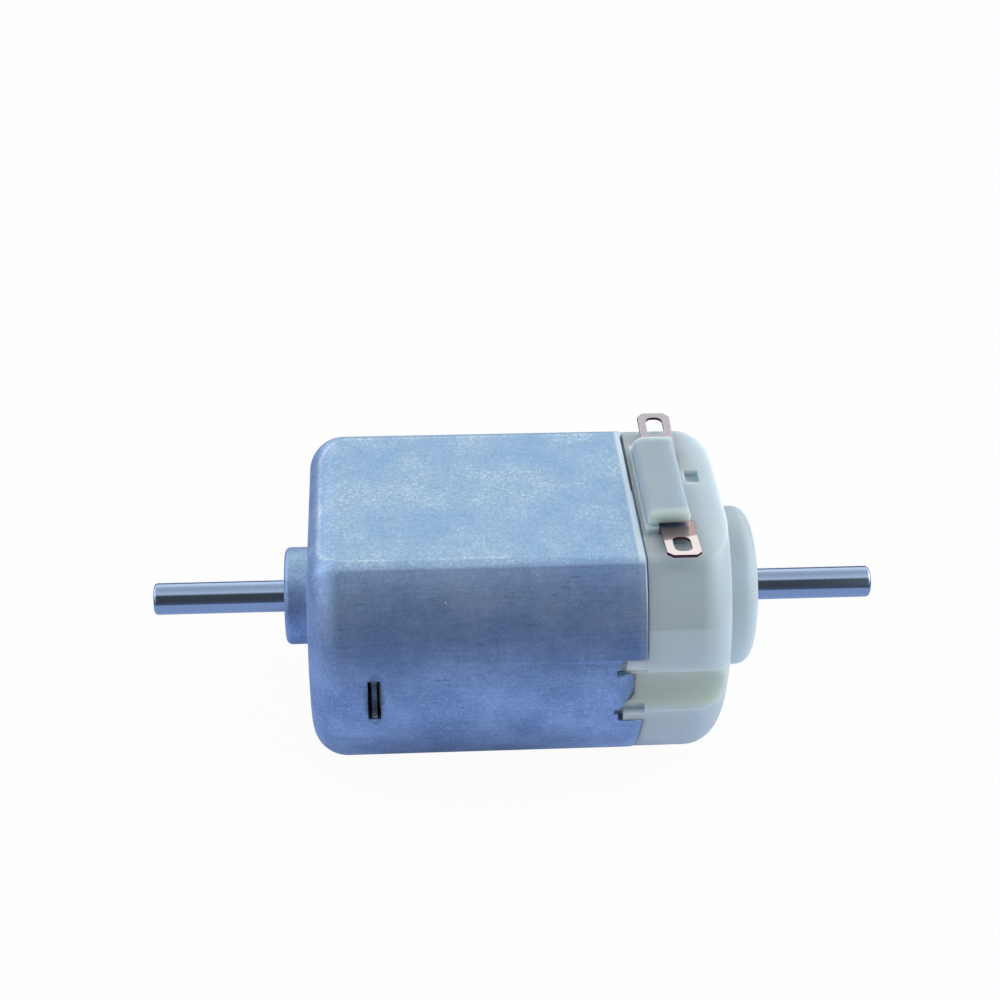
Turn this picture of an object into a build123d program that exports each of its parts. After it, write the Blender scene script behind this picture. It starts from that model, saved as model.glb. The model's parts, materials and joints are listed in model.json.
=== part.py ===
from build123d import *
import math
import os

# Small brushed motor, in millimetres. The shaft runs along X, the front boss points to -X and the
# solder tags stand on the top, +Z. The origin is on the shaft's axis, at the can's front face.

# Drive shaft, out of both ends
shaft_diameter = 2.0
front_shaft_reach = 8.2
rear_shaft_reach = 8.0
shaft_tip_chamfer = 0.2

# Steel can: a drawn cup, round at the sides and flat above and below
can_width = 20.1
can_height = 15.1
can_length = 19.9
can_wall = 0.5
can_corner_radius = 1.0
can_end_radius = 2.15
front_boss_diameter = 6.1
front_boss_length = 1.6
front_boss_edge_radius = 0.35
front_boss_mouth = 3.4
rim_step_depth = 0.15
rim_step_end_gap = 0.6

# Rim notches, one in each round side, and the tongue crimped into each
notch_width = 4.8
notch_depth = 1.55
notch_corner_radius = 0.3
tongue_root_width = 2.6
tongue_end_width = 1.5
tongue_length = 1.3
tongue_bend = 42
relief_width = 0.45
relief_depth = 0.25

# Lanced magnet stops: a strip between two slits, pushed in at the middle of each round side
stop_from_front = 3.85
stop_window_width = 0.76
stop_strip_width = 0.5
stop_height = 2.95
stop_push = 0.75
stop_strip_thickness = 0.4

# Nylon end cap
cap_length = 5.3
cap_inset = 0.05
cap_end_radius = 2.1
cap_end_wall = 1.4
cap_side_wall = 1.75
cap_flat_wall = 1.45
spigot_length = 2.5
spigot_gap = 0.05
shoulder_gap = 0.06
rear_boss_diameter = 10.1
rear_boss_length = 2.35
rear_boss_edge_radius = 0.9
channel_radius = 1.85
channel_depth = 0.95
tongue_gap = 0.07
key_width = 0.6
key_gap = 0.05

# Terminal bridge on the cap's top flat, with the ledge at its foot and the small latch pocket
bridge_from_rim = 0.35
bridge_width = 2.5
bridge_length = 8.1
bridge_height = 1.4
bridge_edge_radius = 0.25
bridge_shoulder_radius = 0.7
ledge_from_rim = 0.2
ledge_length = 8.6
ledge_height = 0.45
latch_length = 0.88
latch_width = 1.3
latch_depth = 0.4
latch_offset = 1.55
latch_clearance = 0.55

# Copper solder tags: a leg inside, a tag outside
tag_from_rim = 2.1
tag_width = 2.05
tag_thickness = 0.2
tag_lift = 0.13
tag_reach = 7.42
tag_rise = 0.5
tag_bend_radius = 0.35
tag_corner = 0.35
tag_eye_length = 1.6
tag_eye_width = 1.05
tag_eye_corner = 0.42
tag_eye_margin = 0.45
leg_offset = 3.3
leg_reach = 3.9
tag_slot_gap = 0.06

# Bushes, thrust washers and spacer
bush_running_gap = 0.02
front_bush_length = 2.2
rear_bush_diameter = 4.2
rear_bush_flange_diameter = 5.4
rear_bush_flange_thickness = 0.4
rear_bush_recess = 0.4
seat_gap = 0.02
washer_diameter = 4.0
washer_thickness = 0.25
end_play = 0.05
spacer_diameter = 3.2

# Magnets and the clip that spreads them
magnet_air_gap = 0.4
magnet_flat_gap = 0.56
magnet_seat_gap = 0.03
magnet_stop_gap = 0.05
magnet_cap_gap = 0.45
magnet_edge_radius = 0.4
clip_thickness = 0.35
clip_width = 5.0
clip_gap = 0.05
clip_arm_length = 1.6
clip_bend_radius = 0.55
clip_bend_share = 0.9

# Armature: three-pole sheets, end plates and windings
flat_air_gap = 0.7
armature_share = 0.667
sheet_thickness = 0.5
sheet_count = 17
pole_count = 3
core_hub_diameter = 4.4
tooth_width = 2.4
pole_tip_thickness = 0.9
pole_slot_width = 1.4
insulator_thickness = 0.4
coil_build = 1.75
coil_gap = 0.08
coil_edge_radius = 0.5

# Commutator
commutator_diameter = 4.6
segment_thickness = 0.4
segment_length = 3.6
segment_slit = 0.35
segment_turn = 30
tang_width = 1.2
tang_thickness = 0.35
tang_reach = 1.0
sleeve_flange_diameter = 4.4
sleeve_flange_length = 0.8
keeper_ring_diameter = 5.6
keeper_ring_width = 0.8

# Brushes on their leaf arms
brush_gap = 0.05
brush_width = 1.8
brush_length = 1.5
brush_height = 0.8
arm_thickness = 0.2
arm_weld_length = 2.0
arm_tail_length = 0.9
arm_tail_flare = 0.3
arm_bend_radius = 0.6

# Length by which a cutting shape runs past what it cuts
overrun = 1.0

# Places that follow from the sizes
can_radius = can_width / 2
can_half_height = can_height / 2
inner_radius = can_radius - can_wall
inner_half_height = can_half_height - can_wall
rim_x = can_length
cap_end_x = rim_x + cap_length
rear_boss_x = cap_end_x + rear_boss_length
cap_radius = can_radius - cap_inset
cap_half_height = can_half_height - cap_inset
cap_wall_x = cap_end_x - cap_end_wall
spigot_x = rim_x - spigot_length
notch_x = rim_x - notch_depth
tag_x = rim_x + tag_from_rim
tag_floor_z = cap_half_height + tag_lift
leg_foot_z = cap_half_height - leg_reach
shaft_radius = shaft_diameter / 2
front_bush_x = front_bush_length - front_boss_length + can_wall
rear_bush_x = cap_wall_x - rear_bush_flange_thickness
front_washer_x = front_bush_x + end_play
rear_washer_x = rear_bush_x - end_play
spacer_x = front_washer_x + washer_thickness
sleeve_end_x = rear_washer_x - washer_thickness
segment_x = sleeve_end_x - segment_length
core_radius = min(inner_half_height - flat_air_gap, armature_share * inner_radius)
magnet_radius = inner_radius - magnet_seat_gap
magnet_bore_radius = core_radius + magnet_air_gap
magnet_half_angle = math.degrees(math.asin((inner_half_height - magnet_flat_gap) / magnet_radius))
core_length = sheet_thickness * sheet_count
magnet_x = stop_from_front + stop_strip_width / 2 + magnet_stop_gap
magnet_end_x = spigot_x - magnet_cap_gap
core_centre_x = (magnet_x + magnet_end_x) / 2
core_x = core_centre_x - core_length / 2
pole_pitch = 360 / pole_count


def prism(outline, x_from, x_to):
    """Run a YZ outline along X between two stations."""
    return extrude(Plane.YZ.offset(x_from) * outline, x_to - x_from)


def rod(diameter, x_from, x_to):
    return prism(Circle(diameter / 2), x_from, x_to)


def tube(outer, inner, x_from, x_to):
    return prism(Circle(outer / 2) - Circle(inner / 2), x_from, x_to)


def block(x_span, y_span, z_span):
    """Box between two limits on each axis."""
    spans = (x_span, y_span, z_span)
    centre = [(low + high) / 2 for low, high in spans]
    return Pos(*centre) * Box(*[high - low for low, high in spans])


def both_sides(shape):
    """The shape and its mirror image across the motor's middle plane."""
    return shape + mirror(shape, about=Plane.XZ)


def flat_sided(radius, half_height, corner):
    """Round outline cut flat above and below, with rounded corners."""
    outline = Circle(radius) & Rectangle(2 * radius, 2 * half_height)
    rows = outline.vertices().group_by(Axis.Y)
    return fillet(rows[0] + rows[-1], corner)


def wedge(half_angle, reach, middle_angle):
    """Sector outline from the axis, to cut ring outlines with."""
    turns = [math.radians(middle_angle + half_angle * side) for side in (-1, 0, 1)]
    corners = [(reach * math.cos(turn), reach * math.sin(turn)) for turn in turns]
    return make_face(Polyline((0, 0), *corners, close=True))


def round_end(solid, end, radius):
    """Fillet the outer edge of the first (0) or last (-1) face along X."""
    return fillet(solid.faces().sort_by(Axis.X)[end].edges(), radius)


def tongue_side(gap):
    """Side profile, in XY, of a tongue bent in from the front rim; gap grows its inner face and end."""
    sagitta = can_radius - math.sqrt(can_radius**2 - (tongue_root_width / 2) ** 2)
    thickness = can_wall - sagitta + gap
    bend = math.radians(tongue_bend)
    reach = tongue_length + gap
    root = Vector(notch_x, -can_radius + sagitta)
    tip = root + Vector(math.cos(bend), math.sin(bend)) * reach
    inner_tip = tip + Vector(-math.sin(bend), math.cos(bend)) * thickness
    inner_bend = root + Vector(-thickness * math.tan(bend / 2), thickness)
    start = Vector(-can_wall, 0)
    outer = (root + start, root, tip)
    inner = (inner_tip, inner_bend, inner_bend + start)
    return make_face(Polyline(*outer, *inner, close=True))


def tongue_plan(gap):
    """Outline of a tongue seen from its own side, wide at the root, in XZ."""
    root = tongue_root_width / 2 + gap
    end = tongue_end_width / 2 + gap
    tip_x = notch_x + tongue_length + gap
    tail_x = notch_x - can_wall
    corners = [(tail_x, root), (notch_x, root), (tip_x, end)]
    return make_face(Polyline(*corners, *[(x, -z) for x, z in reversed(corners)], close=True))


def tongue(gap):
    """A rim tongue on the front side, bent in over the cap's ledge."""
    plate = extrude(tongue_side(gap), tongue_root_width, both=True)
    return plate & extrude(Plane.XZ * tongue_plan(gap), can_width, both=True)


def stop_strip():
    """The strip of can wall pushed in between two slits, as the magnet's stop."""
    foot = stop_height / 2
    depth = can_wall - stop_strip_thickness
    y_foot = -math.sqrt(can_radius**2 - foot**2) + depth / 2
    outer = ThreePointArc((y_foot, -foot), (y_foot + stop_push, 0), (y_foot, foot))
    band = trace(outer, stop_strip_thickness)
    half = stop_strip_width / 2
    return prism(band, stop_from_front - half, stop_from_front + half)


def motor_can():
    """Drawn steel cup with its boss, rim notches, crimped tongues and magnet stops."""
    shell = prism(flat_sided(can_radius, can_half_height, can_corner_radius), 0, rim_x)
    shell = round_end(shell, 0, can_end_radius)
    inner = flat_sided(inner_radius, inner_half_height, can_corner_radius - can_wall)
    hollow = round_end(prism(inner, can_wall, rim_x + overrun), 0, can_end_radius - can_wall)
    boss = round_end(rod(front_boss_diameter, -front_boss_length, can_wall), 0, front_boss_edge_radius)
    seat = rod(front_boss_diameter - 2 * can_wall, can_wall - front_boss_length, can_wall + overrun)
    mouth = rod(front_boss_mouth, -front_boss_length - overrun, can_wall)
    can = shell + boss - hollow - seat - mouth

    half_notch = notch_width / 2
    side_reach = can_radius + overrun
    notch = block((notch_x, rim_x + overrun), (-side_reach, side_reach), (-half_notch, half_notch))
    notch = fillet(notch.edges().filter_by(Axis.Y).group_by(Axis.X)[0], notch_corner_radius)
    can -= notch
    slot_z = tongue_root_width / 2
    for side in (-1, 1):
        span = sorted((side * slot_z, side * (slot_z + relief_width)))
        can -= block((notch_x - relief_depth, notch_x + overrun), (-side_reach, side_reach), span)
    can += both_sides(tongue(0))

    half_window = stop_window_width / 2
    window = (stop_from_front - half_window, stop_from_front + half_window)
    can -= block(window, (-side_reach, side_reach), (-stop_height / 2, stop_height / 2))
    can += both_sides(stop_strip())

    flat_end = math.sqrt(can_radius**2 - can_half_height**2)
    step = block(
        (rim_x - rim_step_depth, rim_x + overrun),
        (0, flat_end - rim_step_end_gap),
        (can_half_height - 2 * can_wall, can_half_height + overrun),
    )
    return can - step


def bridge():
    """Raised bar over the tags' roots, with a rounded shoulder and a low ledge on the can's side."""
    start = rim_x + bridge_from_rim
    half = bridge_length / 2
    foot_z = cap_half_height - cap_flat_wall / 2
    bar = block((start, start + bridge_width), (-half, half), (foot_z, cap_half_height + bridge_height))
    top_edges = bar.edges().filter_by(Axis.Y).group_by(Axis.Z)[-1]
    bar = fillet(top_edges.sort_by(Axis.X)[0], bridge_shoulder_radius)
    high = bar.edges().filter_by(lambda edge: edge.center().Z > cap_half_height + bridge_height / 2)
    far_edge = high.filter_by(Axis.Y).sort_by(Axis.X)[-1:]
    bar = fillet(high.filter_by(Axis.Y, reverse=True) + far_edge, bridge_edge_radius)
    half_ledge = ledge_length / 2
    ledge_x = (rim_x + ledge_from_rim, start + bridge_width / 2)
    return bar + block(ledge_x, (-half_ledge, half_ledge), (foot_z, cap_half_height + ledge_height))


def tag_room():
    """Space that the front tag needs through the cap's top wall and out under the bridge."""
    half = tag_width / 2 + tag_slot_gap
    inner_y = -leg_offset + tag_thickness / 2 + tag_slot_gap
    outer_y = -leg_offset - tag_thickness / 2 - tag_slot_gap
    span_x = (tag_x - half, tag_x + half)
    top_z = tag_floor_z + tag_thickness + tag_slot_gap + tag_rise / 2
    slot = block(span_x, (outer_y, inner_y), (cap_half_height - cap_flat_wall - overrun, top_z))
    mouth = block(span_x, (-bridge_length / 2 - overrun, inner_y), (cap_half_height, top_z))
    corner = block(span_x, (outer_y - tag_bend_radius, inner_y), (cap_half_height - tag_bend_radius, top_z))
    return slot + mouth + corner


def cap_keys():
    """Ribs that fill the rim notches beside the tongues and stop the cap from turning."""
    outer = notch_width / 2 - key_gap
    skin = prism(
        flat_sided(cap_radius, cap_half_height, can_corner_radius),
        notch_x + notch_corner_radius + key_gap,
        rim_x + shoulder_gap,
    )
    ribs = None
    for side in (-1, 1):
        span_z = sorted((side * outer, side * (outer - key_width)))
        bar = block((notch_x, rim_x + shoulder_gap), (-can_radius, -can_radius + 2 * can_wall), span_z)
        ribs = bar if ribs is None else ribs + bar
    return skin & both_sides(ribs)


def end_cap():
    """Nylon cap: flush body, spigot in the can, rear boss, tongue channels and terminal bridge."""
    outline = flat_sided(cap_radius, cap_half_height, can_corner_radius)
    turned = round_end(rod(2 * cap_radius, rim_x + shoulder_gap, cap_end_x), -1, cap_end_radius)
    body = prism(outline, rim_x + shoulder_gap, cap_end_x) & turned
    plug_corner = can_corner_radius - can_wall
    plug = flat_sided(inner_radius - spigot_gap, inner_half_height - spigot_gap, plug_corner)
    boss = round_end(rod(rear_boss_diameter, cap_wall_x, rear_boss_x), -1, rear_boss_edge_radius)
    cap = body + prism(plug, spigot_x, rim_x + shoulder_gap) + cap_keys() + boss + bridge()

    room = flat_sided(cap_radius - cap_side_wall, cap_half_height - cap_flat_wall, can_corner_radius)
    cap -= prism(room, spigot_x - overrun, cap_wall_x)
    cap -= rod(rear_bush_diameter + 2 * seat_gap, cap_wall_x - overrun, rear_boss_x + overrun)

    groove = rod(2 * channel_radius, notch_x + tongue_gap, rear_boss_x)
    groove = Pos(0, -cap_radius + channel_depth - channel_radius, 0) * groove
    cap -= both_sides(groove + tongue(tongue_gap))
    cap -= both_sides(tag_room())

    latch_x = rim_x + bridge_from_rim + bridge_width + latch_clearance
    span_y = (latch_offset - latch_width / 2, latch_offset + latch_width / 2)
    top_z = cap_half_height + overrun
    return cap - block((latch_x, latch_x + latch_length), span_y, (cap_half_height - latch_depth, top_z))


def terminal():
    """Front solder tag: leg inside the cap, bent out under the bridge, with its slotted eye."""
    middle_z = tag_floor_z + tag_thickness / 2
    path = FilletPolyline(
        (-leg_offset, leg_foot_z),
        (-leg_offset, middle_z),
        (-tag_reach, middle_z + tag_rise),
        radius=tag_bend_radius,
    )
    half = tag_width / 2
    strip = prism(trace(path, tag_thickness), tag_x - half, tag_x + half)
    tip = strip.faces().sort_by(Axis.Y)[0]
    corners = tip.edges().filter_by(lambda edge: abs(edge.tangent_at(0).X) < math.sqrt(0.5))
    strip = chamfer(corners, tag_corner)
    eye_y = -tag_reach + tag_eye_margin + tag_eye_length / 2
    eye = Pos(tag_x, eye_y, 0) * Rot(0, 0, 90) * RectangleRounded(tag_eye_length, tag_eye_width, tag_eye_corner)
    return strip - extrude(eye, can_height)


def brush_arm():
    """Front leaf spring, welded flat to the leg and sprung towards the commutator."""
    weld_y = -leg_offset + tag_thickness / 2 + arm_thickness / 2
    back_y = -commutator_diameter / 2 - brush_gap - brush_height - arm_thickness / 2
    half = brush_length / 2
    path = FilletPolyline(
        (weld_y, leg_foot_z + arm_weld_length),
        (weld_y, leg_foot_z),
        (back_y, half),
        (back_y, -half),
        (back_y - arm_tail_flare, -half - arm_tail_length),
        radius=arm_bend_radius,
    )
    half_width = brush_width / 2
    return prism(trace(path, arm_thickness), tag_x - half_width, tag_x + half_width)


def brush():
    """Front carbon pad, hollowed to the commutator's curve."""
    half = brush_length / 2
    half_width = brush_width / 2
    back_y = -commutator_diameter / 2 - brush_gap - brush_height
    pad = block((tag_x - half_width, tag_x + half_width), (back_y, 0), (-half, half))
    return pad - rod(commutator_diameter + 2 * brush_gap, tag_x - tag_width, tag_x + tag_width)


def magnet():
    """Front ferrite arc, between the can's round side and the armature."""
    ring = Circle(magnet_radius) - Circle(magnet_bore_radius)
    arc = ring & wedge(magnet_half_angle, can_width, 180)
    bar = prism(arc, magnet_x, magnet_end_x)
    return fillet(bar.edges().filter_by(Axis.X), magnet_edge_radius)


def magnet_spring():
    """Sprung clip across the bottom flat, pressing the two magnets apart."""
    turn = math.radians(magnet_half_angle)
    outward = Vector(math.cos(turn), -math.sin(turn))
    aside = Vector(-math.sin(turn), -math.cos(turn)) * (clip_gap + clip_thickness / 2)
    base_z = -inner_half_height + clip_gap + clip_thickness / 2
    bend = outward * ((-base_z + aside.Y) / math.sin(turn)) + aside
    top = bend - outward * clip_arm_length
    half_path = [(bend.X, base_z), (top.X, top.Y)]
    other_half = [(-y, z) for y, z in reversed(half_path)]
    bend_radius = min(clip_bend_radius, clip_bend_share * clip_arm_length * math.tan(turn / 2))
    path = FilletPolyline(*other_half, *half_path, radius=bend_radius)
    half = clip_width / 2
    return prism(trace(path, clip_thickness), core_centre_x - half, core_centre_x + half)


def front_bush():
    outer = front_boss_diameter - 2 * can_wall - 2 * seat_gap
    return tube(outer, shaft_diameter + 2 * bush_running_gap, can_wall - front_boss_length, front_bush_x)


def rear_bush():
    """Flanged bush, pushed in from inside the cap."""
    bore = shaft_diameter + 2 * bush_running_gap
    flange = tube(rear_bush_flange_diameter, bore, rear_bush_x, cap_wall_x)
    return flange + tube(rear_bush_diameter, bore, cap_wall_x, rear_boss_x - rear_bush_recess)


def shaft():
    bar = rod(shaft_diameter, -front_boss_length - front_shaft_reach, rear_boss_x + rear_shaft_reach)
    return chamfer(bar.edges().filter_by(GeomType.CIRCLE), shaft_tip_chamfer)


def on_shaft(outer, x_from, x_to):
    """Sleeve or washer that sits on the shaft."""
    return tube(outer, shaft_diameter + 2 * seat_gap, x_from, x_to)


def pole_arms(length):
    """Three teeth from the axis out, as an outline."""
    arms = Circle(core_hub_diameter / 2)
    for pole in range(pole_count):
        arms += Rot(0, 0, 90 + pole * pole_pitch) * Pos(length / 2, 0) * Rectangle(length, tooth_width)
    return arms


def sheet_outline():
    """One lamination: hub, three teeth and the curved pole tips with a slot between each pair."""
    tips = Circle(core_radius) - Circle(core_radius - pole_tip_thickness)
    for pole in range(pole_count):
        turn = Rot(0, 0, 90 + (pole + 0.5) * pole_pitch)
        tips -= turn * Pos(core_radius, 0) * Rectangle(2 * pole_tip_thickness + overrun, pole_slot_width)
    arms = pole_arms(core_radius) & Circle(core_radius)
    return arms + tips - Circle(shaft_radius + seat_gap)


def core_laminations():
    sheet = sheet_outline()
    starts = [core_x + sheet_thickness * place for place in range(sheet_count)]
    return Compound([prism(sheet, start, start + sheet_thickness).solid() for start in starts])


def insulator(x_from):
    arms = pole_arms(core_radius - pole_tip_thickness) - Circle(shaft_radius + seat_gap)
    return prism(arms, x_from, x_from + insulator_thickness)


def coil(pole):
    """One winding, a rounded block wound round its tooth between hub and pole tip."""
    inner_x = core_length + 2 * insulator_thickness + 2 * coil_gap
    inner_y = tooth_width + 2 * coil_gap
    low = core_hub_diameter / 2 + coil_gap
    high = core_radius - pole_tip_thickness - coil_gap
    ring = RectangleRounded(inner_x + 2 * coil_build, inner_y + 2 * coil_build, coil_build)
    solid = extrude(Plane.XY.offset(low) * ring, high - low)
    edge_radius = min(coil_edge_radius, (high - low) / 3)
    solid = fillet(solid.faces().filter_by(Axis.Z).edges(), edge_radius)
    half_x = inner_x / 2
    half_y = inner_y / 2
    solid -= block((-half_x, half_x), (-half_y, half_y), (low - overrun, high + overrun))
    solid &= rod(2 * high, -core_length, core_length)
    return Rot(pole * pole_pitch, 0, 0) * Pos(core_centre_x, 0, 0) * solid


def commutator_sleeve():
    inner = shaft_diameter + 2 * seat_gap
    barrel = tube(commutator_diameter - 2 * segment_thickness, inner, segment_x, sleeve_end_x)
    flange_x = segment_x - tang_thickness
    flange = tube(sleeve_flange_diameter, inner, flange_x - sleeve_flange_length, flange_x)
    return barrel + flange + tube(commutator_diameter - 2 * segment_thickness, inner, flange_x, segment_x)


def commutator_segment(place):
    """One copper bar of the commutator, with the tang that the windings are fused to."""
    radius = commutator_diameter / 2
    inner = radius - segment_thickness + seat_gap
    half_angle = pole_pitch / 2 - math.degrees(segment_slit / 2 / radius)
    arc = (Circle(radius) - Circle(inner)) & wedge(half_angle, can_width, 0)
    bar = prism(arc, segment_x - tang_thickness, sleeve_end_x)
    half = tang_width / 2
    tang_y = (radius - segment_thickness / 2, radius + tang_reach)
    tang = block((segment_x - tang_thickness, segment_x), tang_y, (-half, half))
    return Rot(segment_turn + place * pole_pitch, 0, 0) * (bar + tang)


def keeper_ring():
    inner = commutator_diameter + 2 * seat_gap
    return tube(keeper_ring_diameter, inner, segment_x, segment_x + keeper_ring_width)


def pieces():
    """Every piece of the motor, by name."""
    made = {
        "motor_can": motor_can(),
        "end_cap": end_cap(),
        "front_bush": front_bush(),
        "rear_bush": rear_bush(),
        "magnet_spring": magnet_spring(),
        "shaft": shaft(),
        "front_thrust_washer": on_shaft(washer_diameter, front_washer_x, spacer_x),
        "rear_thrust_washer": on_shaft(washer_diameter, sleeve_end_x, rear_washer_x),
        "shaft_spacer": on_shaft(spacer_diameter, spacer_x, core_x - insulator_thickness),
        "core_laminations": core_laminations(),
        "insulator_front": insulator(core_x - insulator_thickness),
        "insulator_rear": insulator(core_x + core_length),
        "commutator_sleeve": commutator_sleeve(),
        "commutator_ring": keeper_ring(),
    }
    for make in (terminal, brush_arm, brush, magnet):
        made[make.__name__ + "_front"] = make()
        made[make.__name__ + "_back"] = mirror(make(), about=Plane.XZ)
    for pole in range(pole_count):
        made[f"coil_{pole + 1}"] = coil(pole)
        made[f"commutator_segment_{pole + 1}"] = commutator_segment(pole)
    return made


os.makedirs("parts", exist_ok=True)
for node, shape in pieces().items():
    export_step(shape, f"parts/{node}.step")
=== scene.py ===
import json
import math
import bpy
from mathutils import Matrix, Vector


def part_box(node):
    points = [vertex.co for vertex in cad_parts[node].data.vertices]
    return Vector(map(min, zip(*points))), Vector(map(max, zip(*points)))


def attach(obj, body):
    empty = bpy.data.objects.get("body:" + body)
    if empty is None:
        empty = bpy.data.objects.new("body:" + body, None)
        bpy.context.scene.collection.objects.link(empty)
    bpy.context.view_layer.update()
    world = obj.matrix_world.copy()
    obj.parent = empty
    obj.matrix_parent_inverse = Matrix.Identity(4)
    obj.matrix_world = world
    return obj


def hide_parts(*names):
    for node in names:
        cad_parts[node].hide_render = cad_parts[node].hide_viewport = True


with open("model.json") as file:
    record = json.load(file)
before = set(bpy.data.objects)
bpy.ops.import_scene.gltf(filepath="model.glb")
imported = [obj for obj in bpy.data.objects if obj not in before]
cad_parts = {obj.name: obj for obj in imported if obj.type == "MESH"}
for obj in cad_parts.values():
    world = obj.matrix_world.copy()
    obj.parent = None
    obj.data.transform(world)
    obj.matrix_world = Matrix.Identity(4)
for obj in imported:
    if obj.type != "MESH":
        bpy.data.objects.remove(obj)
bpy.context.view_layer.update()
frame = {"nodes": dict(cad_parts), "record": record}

from types import SimpleNamespace

import bmesh
import bpy
from bpy.props import FloatProperty, FloatVectorProperty, IntProperty, PointerProperty
from mathutils import Matrix, Vector

bl_info = {
    "name": "Small DC Motor Looks",
    "version": (1, 0, 0),
    "blender": (4, 5, 0),
    "location": "View3D > Sidebar > Motor",
    "description": "Finishes a small flat-sided motor: plated can, nylon cap, shaft, tags and studio",
    "category": "Object",
}

MM = 0.001
# Two points closer than this are one point of the merged mesh.
MERGE = 0.001 * MM
# A point within this of a plane lies in it.
NEAR = 0.01 * MM
# Faces that lie flatter to each other than this are one face of the merged mesh.
SAME_PLANE = math.radians(0.4)
# Edges sharper than this are worn or rounded, and shade as edges.
SHARP = math.radians(28)
# Faces over this area are braced by a narrow border.
LARGE = 20 * MM ** 2
BRACE = 0.03 * MM
# Depth of the fine relief of plating, nylon and copper strip.
RELIEF = 0.003 * MM
# Sockets of a Mix node for colours, and of one for plain values.
MIX_A, MIX_B, MIX_OUT = 6, 7, 2
VALUE_A, VALUE_B = 2, 3
WHITE = (1.0, 1.0, 1.0, 1.0)
# Tints of the plating's bluer and greyer patches.
BLUE_PATCH = (0.92, 0.96, 1.0, 1.0)
GREY_PATCH = (1.11, 1.06, 1.0, 1.0)
# Directions of the can's handling scratches, in radians about Z.
SCRATCH_TURNS = (0.35, 1.25, 2.3)
# How far red, green and blue light travel in nylon, as shares of its light reach.
SCATTER = (0.85, 1.0, 1.1)


# Colours and textures

def linear(code):
    """Linear RGB of an sRGB hex colour."""
    levels = [int(code[place:place + 2], 16) / 255 for place in (0, 2, 4)]
    return tuple(c / 12.92 if c <= 0.04045 else ((c + 0.055) / 1.055) ** 2.4 for c in levels)


def solid(colour):
    """RGBA of a colour property."""
    return (*colour, 1.0)


def grain(size):
    """Texture scale whose blotches are about as wide as size, given in metres."""
    return 1 / size


def add(tree, kind, inputs=None, **settings):
    """Add one node. Inputs maps a socket to a value or to the output that feeds it."""
    made = tree.nodes.new("ShaderNode" + kind)
    for name, value in settings.items():
        setattr(made, name, value)
    for socket, value in (inputs or {}).items():
        if isinstance(value, bpy.types.NodeSocket):
            tree.links.new(value, made.inputs[socket])
        else:
            made.inputs[socket].default_value = value
    return made


def material(name, **constants):
    """New material with constants on its shader's sockets: its tree, shader and Object coordinates."""
    made = bpy.data.materials.new(name)
    made.use_nodes = True
    tree = made.node_tree
    shader = tree.nodes["Principled BSDF"]
    for socket, value in constants.items():
        shader.inputs[socket.replace("_", " ")].default_value = value
    place = add(tree, "TexCoord").outputs["Object"]
    return made, tree, shader, place


def feed(tree, shader, tone, gloss, relief):
    """Link a colour Mix, a gloss and a relief node to the shader."""
    tree.links.new(tone.outputs[MIX_OUT], shader.inputs["Base Color"])
    tree.links.new(gloss.outputs[0], shader.inputs["Roughness"])
    tree.links.new(relief.outputs[0], shader.inputs["Normal"])


def grainy(name, base, spread, grit, roughness, depth, **constants):
    """Material whose colour, gloss and relief follow one noise. Its grit and depth are in millimetres."""
    made, tree, shader, place = material(name, **constants)
    noise = add(tree, "TexNoise", {"Vector": place, "Scale": grain(grit * MM), "Detail": 4.0})
    level = noise.outputs["Fac"]
    dark, light = (solid([min(1, share * part) for part in base]) for share in (1 - spread, 1 + spread))
    tone = add(tree, "Mix", {0: level, MIX_A: dark, MIX_B: light}, data_type="RGBA")
    gloss = add(tree, "MapRange", {"Value": level, "To Min": roughness[0], "To Max": roughness[1]})
    relief = add(tree, "Bump", {"Height": level, "Distance": depth * MM})
    feed(tree, shader, tone, gloss, relief)
    return made


# Sizes and colours that a user would change

def colour(name, description, code):
    """A colour property, given as an sRGB hex value."""
    return FloatVectorProperty(name=name, description=description, subtype="COLOR", size=3, min=0, max=1,
                               default=linear(code))


def length(name, description, millimetres):
    """A length property, given in millimetres."""
    return FloatProperty(name=name, description=description, unit="LENGTH", precision=5,
                         default=millimetres * MM)


def angle(name, description, degrees):
    """An angle property, given in degrees."""
    return FloatProperty(name=name, description=description, subtype="ANGLE", default=math.radians(degrees))


def fraction(name, description, default):
    """A property between none and all."""
    return FloatProperty(name=name, description=description, subtype="FACTOR", min=0, max=1,
                         default=default)


def number(name, description, default):
    """A plain number, such as a light level where white is 1."""
    return FloatProperty(name=name, description=description, default=default)


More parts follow.
